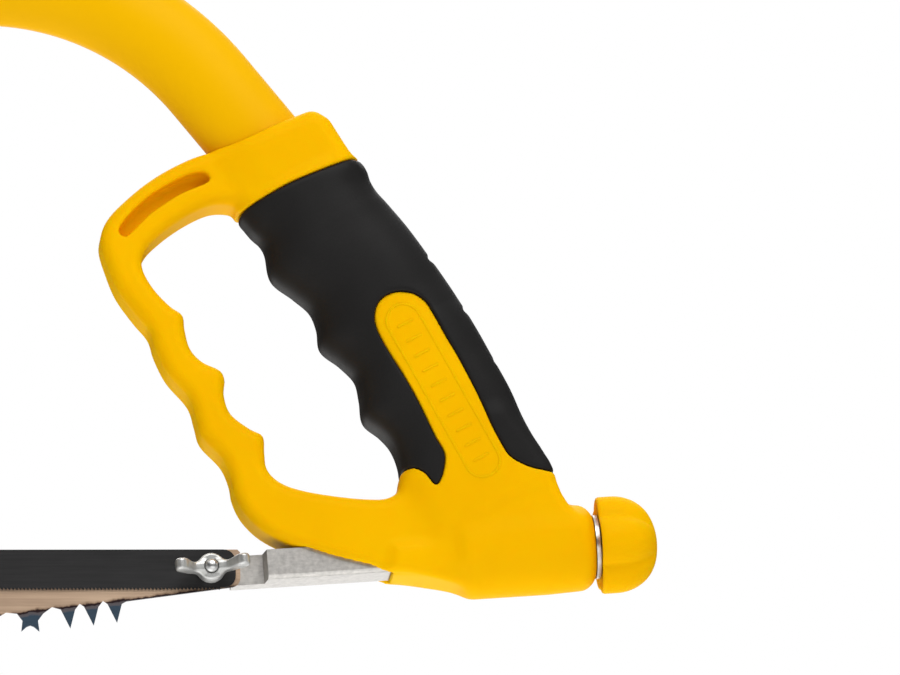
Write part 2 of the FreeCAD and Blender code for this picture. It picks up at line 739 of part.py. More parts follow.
def make_metal_blade():
    """The fine-toothed blade for metal, in front."""
    rear = size("metal_end")
    front = -size("blade_centres") - size("metal_end")
    top = size("metal_top")
    bottom = -size("metal_bottom")
    corner = size("metal_corner")
    pitch = size("metal_pitch")
    root = bottom + size("metal_tooth")
    points = corner_arc(rear - corner, top - corner, corner, 0)
    points += corner_arc(front + corner, top - corner, corner, 90)
    points += corner_arc(front + corner, root + corner, corner, 180)
    first = front + corner + pitch
    count = int((rear - corner - first) / pitch)
    for k in range(count):
        start = first + k * pitch
        points += [(start, root), (start + 0.75 * pitch, bottom)]
    points.append((first + count * pitch, root))
    points += corner_arc(rear - corner, root + corner, corner, 270)
    face_y = blade_face()
    blank = plate([polygon(points)], size("metal_thick"), face_y)
    keep_shape(blank.cut(blade_holes(face_y, size("metal_thick"))), "metal_blade")


def wood_root(x):
    """The line of the gullets: level along the middle, tapering up to both ends."""
    reach = size("wood_end")
    from_rear = size("wood_end_bottom") + size("wood_taper") * (reach - x)
    from_front = size("wood_end_bottom") + size("wood_taper") * (x + size("blade_centres") + reach)
    return -min(size("wood_root"), from_rear, from_front)


def peg(x):
    """A pointed tooth, from right to left."""
    drop = size("tooth_drop")
    return [(x + 1.5, wood_root(x) - 0.4), (x, wood_root(x) - drop), (x - 2.8, wood_root(x) - 0.4)]


def raker(x):
    """A forked raker tooth, from right to left."""
    half = size("raker_half")
    drop = size("tooth_drop") - 0.5
    root = wood_root(x)
    return [(x + half + 1.2, root - 0.2), (x + half - 0.4, root - 2.4), (x + half, root - drop),
            (x + 1.1, root - drop + 1.4), (x, root - drop + 1.8), (x - 1.1, root - drop + 1.4),
            (x - half, root - drop), (x - half + 0.4, root - 2.4), (x - half - 1.2, root - 0.2)]


def wood_teeth():
    """Every tooth as (place, maker), from the rear end to the front: pegs in groups, then a raker."""
    teeth = []
    place = -size("first_peg")
    pegs = 3
    while place > -size("blade_centres") + size("first_peg"):
        for _ in range(pegs):
            if place > -size("blade_centres") + size("first_peg"):
                teeth.append((place, peg))
            place -= size("peg_pitch")
        place += size("peg_pitch") - size("raker_gap")
        if place > -size("blade_centres") + 2 * size("first_peg"):
            teeth.append((place, raker))
        place -= size("raker_gap")
        pegs = int(size("group_pegs"))
    return teeth


def make_wood_blade():
    """The coarse peg-and-raker blade for wood, against the tongue."""
    reach = size("wood_end")
    front_end = -size("blade_centres") - reach
    top = size("wood_top")
    bottom = -size("wood_end_bottom")
    corner = size("wood_corner")
    bevel = 0.8
    points = corner_arc(front_end + corner, bottom + corner, corner, 180)[::-1]
    points += [(front_end, top - bevel), (front_end + bevel, top), (reach - bevel, top), (reach, top - bevel)]
    points += corner_arc(reach - corner, bottom + corner, corner, 270)[::-1]
    last = None
    for place, tooth in wood_teeth():
        outline = tooth(place)
        if last is not None:
            middle = (last + outline[0][0]) / 2
            points.append((middle, wood_root(middle) + size("gullet_rise")))
        else:
            points.append((outline[0][0] + 1.4, wood_root(outline[0][0] + 1.4)))
        points += outline
        last = outline[-1][0]
    points.append((last - 1.4, wood_root(last - 1.4)))
    face_y = -size("tongue_face") - size("wood_thick")
    blank = plate([polygon(points)], size("wood_thick"), face_y)
    keep_shape(blank.cut(blade_holes(face_y, size("wood_thick"))), "wood_blade")


# ---------------------------------------------------------------- the whole saw

make_frame_tube()
make_handle_body()
make_soft_grip()
make_retaining_pin()
make_screw_rings()
make_tension_rod()
insert_form = make_insert_form()
make_tension_knob(insert_form)
make_knob_insert(insert_form)
make_blade_carrier()
make_rod_block()
make_fasteners()
make_metal_blade()
make_wood_blade()
doc.recompute()

for item in doc.Objects:
    if "Invalid" in item.State or "Error" in item.State:
        raise RuntimeError("%s failed: %s" % (item.Label, item.State))
for item in PIECES:
    if item.Shape.isNull() or not item.Shape.isValid():
        raise RuntimeError("%s has no valid shape" % item.Label)

os.makedirs("parts", exist_ok=True)
for item in PIECES:
    item.Shape.exportStep("parts/%s.step" % item.Label)
    box = item.Shape.BoundBox
    print("%-18s %d solid(s) %9.1f mm3  x %.1f..%.1f  y %.2f..%.2f  z %.1f..%.1f" % (
        item.Label, len(item.Shape.Solids), item.Shape.Volume,
        box.XMin, box.XMax, box.YMin, box.YMax, box.ZMin, box.ZMax))
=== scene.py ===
import itertools
import math

import bpy
import numpy as np
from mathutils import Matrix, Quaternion, Vector


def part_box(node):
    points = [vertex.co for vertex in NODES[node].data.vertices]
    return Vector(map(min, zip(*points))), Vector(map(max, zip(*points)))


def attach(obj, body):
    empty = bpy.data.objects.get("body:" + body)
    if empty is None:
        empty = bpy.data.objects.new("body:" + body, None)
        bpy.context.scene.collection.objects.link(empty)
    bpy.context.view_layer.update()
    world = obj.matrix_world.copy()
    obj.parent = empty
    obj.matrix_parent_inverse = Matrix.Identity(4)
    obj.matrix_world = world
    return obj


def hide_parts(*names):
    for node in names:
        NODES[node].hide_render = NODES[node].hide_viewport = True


# Compact bow saw. The pieces made here are drawn in millimetres from the axis of the rear blade
# stud, x along the blades towards the knob, y across the saw and z up, and then moved to the row
# frame in metres. The other CAD pieces stay as they are, and get their materials here.

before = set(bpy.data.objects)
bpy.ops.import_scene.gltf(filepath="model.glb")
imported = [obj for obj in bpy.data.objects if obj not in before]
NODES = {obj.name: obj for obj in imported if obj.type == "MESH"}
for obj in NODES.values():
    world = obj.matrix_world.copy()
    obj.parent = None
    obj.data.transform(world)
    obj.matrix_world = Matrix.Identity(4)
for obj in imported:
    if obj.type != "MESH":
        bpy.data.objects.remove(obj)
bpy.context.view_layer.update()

MM = 0.001
STUD_LOW, STUD_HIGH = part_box("rear_blade_stud")
ORIGIN = np.array([(STUD_LOW.x + STUD_HIGH.x) / 2, 0, (STUD_LOW.z + STUD_HIGH.z) / 2]) / MM
FRONT_LOW, FRONT_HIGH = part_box("front_blade_stud")
FRONT_STUD = (FRONT_LOW.x + FRONT_HIGH.x) / 2 / MM - ORIGIN[0]
TILT = math.radians(3.65)


# ---------------------------------------------------------------- outlines and solids as distances

def smooth_loop(points, steps=5):
    """A closed outline that runs smoothly through (x, z) points."""
    here = np.array(points, float)
    before = np.roll(here, 1, 0)
    after = np.roll(here, -1, 0)
    beyond = np.roll(here, -2, 0)
    rows = []
    for t in np.arange(steps) / steps:
        bend = (2 * before - 5 * here + 4 * after - beyond) * t ** 2
        twist = (3 * here - before - 3 * after + beyond) * t ** 3
        rows.append(0.5 * (2 * here + (after - before) * t + bend + twist))
    return np.stack(rows, 1).reshape(-1, 2)


def rounded_loop(corners, radius, steps=6):
    """A closed outline of straight runs with rounded corners."""
    corners = np.array(corners, float)
    rows = []
    for k, here in enumerate(corners):
        back = corners[k - 1] - here
        ahead = corners[(k + 1) % len(corners)] - here
        back_length = np.linalg.norm(back)
        ahead_length = np.linalg.norm(ahead)
        back /= back_length
        ahead /= ahead_length
        half = 0.5 * math.acos(np.clip(back @ ahead, -1, 1))
        cut = min(radius / math.tan(half), 0.45 * back_length, 0.45 * ahead_length)
        for t in np.linspace(0, 1, steps):
            start = here + back * cut
            end = here + ahead * cut
            rows.append((1 - t) ** 2 * start + 2 * t * (1 - t) * here + t ** 2 * end)
    return np.array(rows)


def outline_distance(x, z, loop):
    """Distance from points to a closed outline, negative inside."""
    x, z = np.broadcast_arrays(x, z)
    nearest = np.full(x.shape, np.inf)
    inside = np.zeros(x.shape, bool)
    for (ax, az), (bx, bz) in zip(loop, np.roll(loop, -1, 0)):
        run_x = bx - ax
        run_z = bz - az
        off_x = x - ax
        off_z = z - az
        share = np.clip((off_x * run_x + off_z * run_z) / (run_x ** 2 + run_z ** 2 + 1e-12), 0, 1)
        nearest = np.minimum(nearest, (off_x - run_x * share) ** 2 + (off_z - run_z * share) ** 2)
        if abs(run_z) > 1e-12:
            inside ^= ((az <= z) != (bz <= z)) & (off_x < off_z * run_x / run_z)
    return np.where(inside, -1, 1) * np.sqrt(nearest)


def union(a, b, soft):
    """Two solids as one, with a fillet about as wide as soft."""
    share = np.clip(0.5 + 0.5 * (b - a) / soft, 0, 1)
    return b + (a - b) * share - soft * share * (1 - share)


def common(a, b, soft):
    """Where both solids are, with a rounded edge."""
    return -union(-a, -b, soft)


def carve(a, b, soft):
    """The first solid without the second, with a rounded edge."""
    return common(a, -b, soft)


def slab(flat, y, half, edge):
    """An outline's distance made into a plate across y with rounded edges."""
    out = flat + edge
    over = np.abs(y) - half + edge
    corner = np.hypot(np.maximum(out, 0), np.maximum(over, 0))
    return np.minimum(np.maximum(out, over), 0) + corner - edge


def through(knots, values, at):
    """A smooth curve through given values, for single numbers or arrays."""
    knots = np.array(knots, float)
    values = np.array(values, float)
    slopes = np.gradient(values, knots)
    at = np.clip(at, knots[0], knots[-1])
    k = np.clip(np.searchsorted(knots, at, side="right") - 1, 0, len(knots) - 2)
    span = knots[k + 1] - knots[k]
    t = (at - knots[k]) / span
    return ((2 * t ** 3 - 3 * t ** 2 + 1) * values[k] + (t ** 3 - 2 * t ** 2 + t) * span * slopes[k]
            + (3 * t ** 2 - 2 * t ** 3) * values[k + 1] + (t ** 3 - t ** 2) * span * slopes[k + 1])


def between(grid, places):
    """A grid's values at places given in steps of the grid."""
    whole = np.floor(places).astype(int)
    whole = np.clip(whole, 0, np.array(grid.shape[:3]) - 2)
    part = places - whole
    total = 0
    for corner in itertools.product((0, 1), repeat=3):
        weight = np.ones(len(places))
        for axis in range(3):
            weight = weight * (part[:, axis] if corner[axis] else 1 - part[:, axis])
        i, j, k = (whole + corner).T
        total = total + weight * grid[i, j, k]
    return total


def surface(solid, low, high, step):
    """The skin of a solid given as a distance, as vertices, outward normals and quads."""
    low = np.array(low, float)
    counts = np.ceil((np.array(high) - low) / step).astype(int) + 1
    x, y, z = (low[k] + step * np.arange(counts[k]) for k in range(3))
    value = solid(x[:, None, None], y[None, :, None], z[None, None, :])
    value = np.ascontiguousarray(np.broadcast_to(value, counts))
    inside = value < 0
    corners = list(itertools.product((0, 1), repeat=3))
    total = sum(inside[i:counts[0] - 1 + i, j:counts[1] - 1 + j, k:counts[2] - 1 + k].astype(np.int8)
                for i, j, k in corners)
    crossed = (total > 0) & (total < 8)
    number = np.full(crossed.shape, -1, np.int64)
    number[crossed] = np.arange(crossed.sum())
    cells = np.argwhere(crossed)
    sums = np.zeros((len(cells), 3))
    hits = np.zeros(len(cells))
    for axis in range(3):
        for first in corners:
            if first[axis]:
                continue
            second = np.array(first)
            second[axis] = 1
            a = value[tuple((cells + first).T)]
            b = value[tuple((cells + second).T)]
            cut = (a < 0) != (b < 0)
            place = (cells + first).astype(float)
            place[:, axis] += np.where(cut, a / np.where(cut, a - b, 1), 0)
            sums[cut] += place[cut]
            hits += cut
    places = sums / hits[:, None]
    slopes = np.gradient(value)
    for _ in range(2):
        slope = np.stack([between(s, places) for s in slopes], 1)
        steep = (slope ** 2).sum(1) + 1e-9
        move = -between(value, places)[:, None] * slope / steep[:, None]
        places = places + np.clip(move, -0.4, 0.4)
    slope = np.stack([between(s, places) for s in slopes], 1)
    normals = slope / (np.linalg.norm(slope, axis=1)[:, None] + 1e-12)
    quads = []
    for axis in range(3):
        u = (axis + 1) % 3
        v = (axis + 2) % 3
        near = np.take(inside, range(counts[axis] - 1), axis)
        far = np.take(inside, range(1, counts[axis]), axis)
        at = np.argwhere(near != far)
        at = at[(at[:, u] > 0) & (at[:, v] > 0) & (at[:, u] < counts[u] - 1) & (at[:, v] < counts[v] - 1)]
        step_u = np.eye(3, dtype=int)[u]
        step_v = np.eye(3, dtype=int)[v]
        ring = [number[tuple((at - move).T)] for move in (0 * step_u, step_u, step_u + step_v, step_v)]
        ring = np.stack(ring, 1)
        outward = near[tuple(at.T)]
        quads.append(np.where(outward[:, None], ring, ring[:, ::-1]))
    return low + places * step, normals, np.concatenate(quads)


def in_scene(name, data):
    """A new object in the scene."""
    made = bpy.data.objects.new(name, data)
    bpy.context.scene.collection.objects.link(made)
    return made


def ring_faces(rows, around):
    """The faces of a closed skin over rings of points, with a cap at each end."""
    faces = [list(range(around))]
    for row in range(rows - 1):
        for k in range(around):
            a = row * around + k
            b = row * around + (k + 1) % around
            faces.append([b, a, a + around, b + around])
    faces.append(list(range(rows * around - 1, (rows - 1) * around - 1, -1)))
    return faces


def make_mesh(name, vertices, faces, normals=None, turn=0.0, about=(0, 0)):
    """A smooth mesh object from points in millimetres, turned in the saw's plane about a point."""
    c = math.cos(turn)
    s = math.sin(turn)
    matrix = np.array([[c, 0, -s], [0, 1, 0], [s, 0, c]])
    pivot = np.array([about[0], 0, about[1]], float)
    points = (vertices - pivot) @ matrix.T + pivot + ORIGIN
    mesh = bpy.data.meshes.new(name)
    mesh.from_pydata((points * MM).tolist(), [], [list(f) for f in faces])
    mesh.shade_smooth()
    if normals is not None:
        mesh.normals_split_custom_set_from_vertices((normals @ matrix.T).tolist())
    mesh.update()
    return in_scene(name, mesh)


def mould(name, solid, low, high, step, **place):
    """A piece made from a solid given as a distance."""
    vertices, normals, quads = surface(solid, low, high, step)
    return make_mesh(name, vertices, quads.tolist(), normals, **place)


# ---------------------------------------------------------------- handle

GRIP_TOP = (31, 115)
GRIP_LEAN = math.radians(60.2)
GRIP_START = -6
GRIP_END = 110
GRIP_HALF = 15.5
SOFT_THICK = 2.6
INLAY_SINK = 0.2
GUARD_HALF = 9.5
GUARD_EDGE = 3.9
COLLAR_HALF = 13.5
COLLAR_EDGE = 5
BASE_HALF = 13
BASE_EDGE = 3.4
KEEL_EDGE = 3
RECESS_HALF = 6.5
BARREL_RADIUS = 13.4
BARREL_TAPER = 0.045
BARREL_START = 75
BARREL_END = 115.8
MOUTH_CHAMFER = 3
SCREW_BORE = 4.6
SCREW_BORE_START = 78
SLOT_HALF = 7.3
SLOT_TOP = 4.4
SLOT_FLOOR = -5.2
SLOT_END = 84
SLOT_OPEN_END = 53.6
TUBE_PLAY = 0.15
TUBE_STOP = -8
NICK_PLACES = (35.4, 54.4, 72.6)
NICK_RADIUS = 2.2
NICK_HALF = 10.5


def grip_place(x, z):
    """How far along the grip and how far across it, towards the palm, a point lies."""
    off_x = x - GRIP_TOP[0]
    off_z = z - GRIP_TOP[1]
    along = off_x * math.cos(GRIP_LEAN) - off_z * math.sin(GRIP_LEAN)
    across = off_x * math.sin(GRIP_LEAN) + off_z * math.cos(GRIP_LEAN)
    return along, across


def grip_point(along, across):
    """The (x, z) point at a place on the grip."""
    x = GRIP_TOP[0] + along * math.cos(GRIP_LEAN) + across * math.sin(GRIP_LEAN)
    z = GRIP_TOP[1] - along * math.sin(GRIP_LEAN) + across * math.cos(GRIP_LEAN)
    return x, z


def finger_reach(along):
    """How far the finger side reaches from the grip's axis: four hollows between ridges."""
    knots = [-8, 0, 6.6, 16.5, 24, 30.5, 36, 41.5, 49, 55.5, 61, 67.5, 73.5, 79.6, 85, 91]
    reach = [23.2, 20.8, 19.7, 22.2, 19.2, 17.2, 18.1, 20.4, 17.8, 16.3, 18, 20.5, 18.3, 17.1, 17.8, 21.2]
    return through(knots, reach, along)


def palm_reach(along):
    """How far the palm side reaches: a long bow, full below the middle."""
    knots = [-8, -4.6, -1.5, 2, 5, 8.6, 14, 22, 34, 47, 60, 72, 84, 92, 99, 105]
    reach = [17.6, 18.2, 20.1, 20.3, 19.5, 19.3, 20.2, 21.5, 22.6, 23.4, 23.4, 22.8, 22, 20.7, 19.4, 18.8]
    return through(knots, reach, along)


def grip_body(x, y, z):
    """The grip's full rounded shape."""
    along, across = grip_place(x, z)
    front = finger_reach(along)
    back = palm_reach(along)
    reach = (front + back) / 2
    side = across - (back - front) / 2
    fullness = through([50, 100], [2.4, 4.2], along)
    depth = through([-8, 70, 108], [GRIP_HALF, GRIP_HALF, BASE_HALF], along)
    ratio = (np.abs(side / reach) ** fullness + np.abs(y / depth) ** fullness) ** (1 / fullness)
    distance = (1 - 1 / np.maximum(ratio, 1e-6)) * np.hypot(side, y)
    distance = np.where(ratio < 0.2, -GRIP_HALF * 0.8, distance)
    ends = np.maximum(GRIP_START - along, along - GRIP_END)
    return common(distance, ends, 3)


GUARD_OUTSIDE = [
    (26, 132.5), (16, 131.5), (8, 129.8), (-1.7, 127.1), (-6.8, 125), (-12.8, 121.8), (-18.7, 117.8),
    (-24.4, 112.9), (-28.7, 108.5), (-31.1, 104.4), (-31.8, 99.8), (-29.9, 92.9), (-26.9, 85.4), (-21.8, 78),
    (-17.5, 72.6), (-15.7, 66.8), (-12.1, 59.4), (-5.9, 51.9), (-3.9, 45.5), (-2.2, 39.8), (3.7, 33.3),
    (6.2, 27.5), (7.2, 22.2), (10, 16.5), (15.4, 11.1), (23.6, 6.8), (35.5, 2.6), (47, -0.3), (56, -1.8),
    (84, 10), (76, 40), (60, 80), (44, 112), (35, 126)]
GUARD_OPENING = [
    (14.5, 111.2), (8.2, 111.8), (1.5, 111.6), (-6.3, 107.9), (-13.6, 102.6), (-18.4, 97.5), (-19.4, 92.4),
    (-16.3, 86.1), (-11.3, 80.5), (-7.5, 77.6), (-6.9, 73.2), (-5.4, 67.3), (-1.8, 63.2), (3.4, 60.6),
    (4.9, 57.6), (4.6, 52.8), (6.5, 47.1), (12, 42.6), (16.1, 40.2), (16.5, 35), (17.2, 30), (21, 26),
    (28, 23.4), (40, 21.4), (50, 20.7), (54.2, 21.5), (56.6, 23.6), (57.8, 27.5), (58.5, 32), (52, 58),
    (38, 88), (27, 107)]
RECESS = [
    (-26.3, 103.9), (-25.4, 101.6), (-23.2, 102), (-16.9, 108.3), (-7.8, 114.5), (0.1, 118), (1.1, 120),
    (-1.2, 121.6), (-6.2, 120.4), (-15.3, 115.4), (-22.4, 109.2)]
BASE = [(54, 3), (55, 17), (62, 24), (67, 32), (71, 44), (88, 48), (94.5, 41), (98.5, 36), (101.5, 31.5),
        (103, 27.5), (105.3, 21.6), (107.2, 18.4), (109, 16), (112, 14), (112, 8), (86, 6), (78, 0),
        (74.5, -2.2), (62, 0.8)]
KEEL = [(54.2, 6), (53.4, -1), (54.8, -1.6), (61.6, -2.7), (69, -4.2), (74, -5.4), (80, -5.6), (80, 8)]


def collar(x, y, z):
    """The block round the tube's entry, square to it."""
    corners = [grip_point(-25.4, -21), grip_point(-22.9, 5), grip_point(-21.6, 14.4),
               grip_point(-16.6, 17), grip_point(4, 17.4), grip_point(4, -20)]
    across = grip_place(x, z)[1]
    half = through([-20, -8, 0], [GUARD_HALF, COLLAR_HALF - 0.6, COLLAR_HALF], across)
    return slab(outline_distance(x, z, rounded_loop(corners, 5)), y, half, COLLAR_EDGE)


def tension_place(x, z):
    """How far along the tilted tension axis, and how far above it, a point lies."""
    return x * math.cos(TILT) + z * math.sin(TILT), z * math.cos(TILT) - x * math.sin(TILT)


def barrel(x, y, z):
    """The round housing of the tension screw, chamfered at its mouth."""
    along, above = tension_place(x, z)
    radial = np.hypot(above, y) - BARREL_RADIUS + BARREL_TAPER * np.maximum(along - 101, 0)
    chamfer = (radial + along - BARREL_END + MOUTH_CHAMFER) / math.sqrt(2)
    mouth = common(common(radial, along - BARREL_END, 0.6), chamfer, 1.4)
    return common(mouth, BARREL_START - along, 4)


def grip_nicks(x, y, z, form):
    """Three short leaf-shaped cuts across the palm side, as deep everywhere as their width allows."""
    along, across = grip_place(x, z)
    radius = NICK_RADIUS * np.clip(1 - (y / NICK_HALF) ** 2, 0, 1)
    nearest = np.minimum.reduce([np.abs(along - place) for place in NICK_PLACES])
    return np.maximum(np.hypot(nearest, form - 0.9) - radius, 4 - across)


def handle_form(x, y, z):
    """The handle's outside with the soft grip in place."""
    ring = np.maximum(outline_distance(x, z, smooth_loop(GUARD_OUTSIDE)),
                      -outline_distance(x, z, smooth_loop(GUARD_OPENING)))
    form = slab(ring, y, GUARD_HALF, GUARD_EDGE)
    form = union(form, grip_body(x, y, z), 3.5)
    form = union(form, collar(x, y, z), 2.5)
    base_half = through([54, 68, 82], [4.5, 9.8, BASE_HALF], x)
    base = slab(outline_distance(x, z, rounded_loop(BASE, 5)), y, base_half, BASE_EDGE)
    form = union(form, base, 5)
    form = union(form, barrel(x, y, z), 3)
    keel_half = through([60, 82], [11.5, 7.5], x)
    keel = slab(outline_distance(x, z, rounded_loop(KEEL, 2)), y, keel_half, KEEL_EDGE)
    return union(form, keel, 3)


SOFT_EDGE = [
    (112, 29), (106, 28.2), (102.7, 28), (99.8, 28.2), (96, 29), (92.8, 30.3), (89.8, 32.2), (88, 34.6),
    (84.4, 41.5), (81.2, 49.2), (78, 56), (74.6, 62.8), (70.8, 69.6), (67.3, 76.4), (65.2, 79.9),
    (62.3, 82), (59, 82.8), (55.7, 82.5), (52.7, 81.1), (50.6, 78.6), (49.8, 74.8), (50.4, 71.5),
    (52.1, 67.8), (55, 62.5), (57.9, 57.6), (61.3, 51.4), (64.6, 44.6), (67.6, 38.1), (69.4, 35),
    (70.3, 32.4), (70.1, 29.4), (69.3, 26.2), (68, 23.9), (66.7, 24.1), (65.4, 25.8), (63.8, 27.6),
    (61.3, 29), (58.8, 29.1), (56.6, 28.8), (53, 29.2)]
SOFT_TOP = [(-6.5, -27), (-5.4, -21), (-5, -14), (-4.6, -4), (-3.5, 6), (-2.4, 16), (-2, 20), (-1.4, 30)]


def soft_outline():
    """The outline of the soft grip seen from the side; it runs out past the grip's edges."""
    beyond = [grip_point(60, -30), grip_point(30, -30), grip_point(4, -30)]
    return smooth_loop(SOFT_EDGE + beyond + [grip_point(*place) for place in SOFT_TOP])


def handle_pieces(x, y, z):
    """Distances of the hard moulding and of the soft sleeve."""
    form = handle_form(x, y, z)
    soft = outline_distance(x, z, soft_outline())
    core = union(form + SOFT_THICK, common(form, -soft, 0.9), 0.4)
    return form, soft, core


def tube_bore(x, y, z):
    """The room for the frame tube in the collar; the tube leans a little against the grip's axis."""
    along, across = grip_place(x, z)
    lean_off = across - 0.153 * along + 0.43
    ratio = np.hypot(lean_off / (TUBE_REAR / 2 + TUBE_PLAY), y / (TUBE_DEPTH / 2 + TUBE_PLAY))
    return np.maximum((ratio - 1) * TUBE_DEPTH / 2, along - TUBE_STOP)


def carrier_slot(x, y, z):
    """The slot for the blade carrier, open below the lower arm."""
    along, above = tension_place(x, z)
    sides = np.abs(y) - SLOT_HALF
    closed = np.maximum(np.maximum(above - SLOT_TOP, SLOT_FLOOR - above), along - SLOT_END)
    opened = np.maximum(above - SLOT_TOP, along - SLOT_OPEN_END)
    return np.maximum(np.minimum(closed, opened), sides)


def hard_moulding(x, y, z):
    """The yellow moulding with its recesses, slot and bores."""
    form, soft, core = handle_pieces(x, y, z)
    along, across = grip_place(x, z)
    sink = through([28, 30, 82, 96], [0, INLAY_SINK, INLAY_SINK, 0], along)
    core = np.where(np.abs(across) < 22, np.maximum(core, form + sink), core)
    recess = outline_distance(x, z, smooth_loop(RECESS))
    recess = slab(recess, np.abs(y) - GUARD_HALF - 1, RECESS_HALF, 1)
    core = carve(core, recess, 0.8)
    core = carve(core, tube_bore(x, y, z), 0.4)
    core = carve(core, carrier_slot(x, y, z), 1.0)
    reach, above = tension_place(x, z)
    bore = np.maximum(np.hypot(above, y) - SCREW_BORE, SCREW_BORE_START - reach)
    return carve(core, bore, 0.3)


def soft_sleeve(x, y, z):
    """The soft sleeve: a skin of even thickness with rounded edges."""
    form, soft, _ = handle_pieces(x, y, z)
    nicked = carve(form, grip_nicks(x, y, z, form), 0.3)
    # the sleeve lies a little lower where it meets the collar
    lower = through([-2, 12], [0.5, 0], grip_place(x, z)[0])
    skin = common(nicked + lower, soft + 0.15, 1.0)
    return np.maximum(skin, -(form + SOFT_THICK - 0.1))


BEAD_HALF = 0.5
BEAD_HEIGHT = 0.34
BEAD_SINK = 0.08
BEAD_STEP = 0.8
BORDER_RADIUS = 5.2
BAR_HALF = 2.6


def even_path(points, step):
    """A path's points, placed evenly."""
    points = np.array(points)
    walked = np.concatenate([[0], np.cumsum(np.linalg.norm(np.diff(points, axis=0), axis=1))])
    places = np.linspace(0, walked[-1], max(int(walked[-1] / step), 2) + 1)
    return np.stack([np.interp(places, walked, points[:, k]) for k in (0, 1)], 1)


def inlay_paths():
    """The plain raised lines on an inlay: a slot-shaped border and a row of short bars in it."""
    top = np.array(grip_point(49.4, 3.3))
    foot = np.array(grip_point(98, 1.9))
    ahead = (foot - top) / np.linalg.norm(foot - top)
    aside = np.array([-ahead[1], ahead[0]])
    steps = 16
    border = []
    for centre, start in ((top, 0), (foot, math.pi)):
        for k in range(steps + 1):
            angle = start + math.pi * k / steps
            border.append(centre + BORDER_RADIUS * (math.cos(angle) * aside - math.sin(angle) * ahead))
    border.append(border[0])
    paths = [even_path(border, BEAD_STEP)]
    for share in np.linspace(0.02, 0.98, 10):
        middle = top + share * (foot - top)
        paths.append(even_path([middle - BAR_HALF * aside, middle + BAR_HALF * aside], BEAD_STEP))
    return paths


def inlay_lift(x, z):
    """How far from the middle plane the moulding's face lies at points on an inlay."""
    inner = np.full(x.shape, 9.0)
    outer = np.full(x.shape, 17.0)
    for _ in range(16):
        middle = (inner + outer) / 2
        inside = hard_moulding(x, middle, z) < 0
        inner = np.where(inside, middle, inner)
        outer = np.where(inside, outer, middle)
    return (inner + outer) / 2


def make_inlay_relief(name, side):
    """The raised lines on one face of the handle, as low rounded beads."""
    vertices = []
    faces = []
    across = np.linspace(-1, 1, 5)
    rise = BEAD_HEIGHT * (1 - across ** 2) - BEAD_SINK
    for path in inlay_paths():
        run = np.gradient(path, axis=0)
        run /= np.linalg.norm(run, axis=1)[:, None]
        aside = np.stack([-run[:, 1], run[:, 0]], 1)
        grid = path[:, None, :] + BEAD_HALF * across[None, :, None] * aside[:, None, :]
        lift = inlay_lift(grid[..., 0], grid[..., 1]) + rise
        first = len(vertices)
        vertices += np.stack([grid[..., 0], side * lift, grid[..., 1]], -1).reshape(-1, 3).tolist()
        for row in range(len(path) - 1):
            for k in range(len(across) - 1):
                a = first + row * len(across) + k
                face = [a, a + 1, a + 1 + len(across), a + len(across)]
                faces.append(face if side < 0 else face[::-1])
    return make_mesh(name, np.array(vertices), faces)


# ---------------------------------------------------------------- frame tube

TUBE_REAR = 28.2
TUBE_NOSE = 24
TUBE_DEPTH = 18
APEX = (-66, 183.7)
REAR_BEND = 86.7
TOP_BEND = 120
FRONT_BEND = 62
REAR_SLOPE = math.radians(51.5)
TOP_SLOPE = math.radians(14)
FRONT_SLOPE = math.radians(80)
TONGUE_TOP = 34
TONGUE_HALF = 13
TONGUE_THICK = 3
TONGUE_BACK = 1.3
PRESSED_RUN = 24
NOSE_STEPS = 24


def tube_runs():
    """The tube's centre line from the handle to the nose, as (length, bend radius)."""
    x = APEX[0] - TOP_BEND * math.sin(TOP_SLOPE)
    z = APEX[1] - TOP_BEND * (1 - math.cos(TOP_SLOPE))
    bend_x = FRONT_BEND * (math.sin(FRONT_SLOPE) - math.sin(TOP_SLOPE))
    bend_z = FRONT_BEND * (math.cos(TOP_SLOPE) - math.cos(FRONT_SLOPE))
    room_x = x - bend_x - FRONT_STUD
    room_z = z - bend_z - TONGUE_TOP
    lean = 1 / math.tan(FRONT_SLOPE)
    long_run = (room_x - room_z * lean) / (math.cos(TOP_SLOPE) - math.sin(TOP_SLOPE) * lean)
    last_run = (room_z - long_run * math.sin(TOP_SLOPE)) / math.sin(FRONT_SLOPE)
    return [(60, 0), (REAR_SLOPE * REAR_BEND, REAR_BEND), (TOP_SLOPE * TOP_BEND, TOP_BEND), (long_run, 0),
            ((FRONT_SLOPE - TOP_SLOPE) * FRONT_BEND, FRONT_BEND), (last_run, 0)]


def tube_stations(step):
    """Rows of x, z, heading and distance along the centre line."""
    heading = math.pi - REAR_SLOPE
    runs = tube_runs()
    x = APEX[0] + REAR_BEND * math.sin(REAR_SLOPE) - math.cos(heading) * runs[0][0]
    z = APEX[1] - REAR_BEND * (1 - math.cos(REAR_SLOPE)) - math.sin(heading) * runs[0][0]
    rows = [(x, z, heading, 0)]
    for length, bend in runs:
        count = max(2, round(length / step))
        for _ in range(count):
            turn = length / count / bend if bend else 0
            chord = 2 * bend * math.sin(turn / 2) if bend else length / count
            x += chord * math.cos(heading + turn / 2)
            z += chord * math.sin(heading + turn / 2)
            heading += turn
            rows.append((x, z, heading, rows[-1][3] + length / count))
    # the pressed nose runs straight down past the front stud
    turn_down = 1.5 * math.pi - heading
    for left in range(NOSE_STEPS, 0, -1):
        heading += turn_down / NOSE_STEPS
        piece = (z + TONGUE_HALF) / left
        x += (FRONT_STUD - x) / left
        z -= piece
        rows.append((x, z, heading, rows[-1][3] + piece))
    return rows


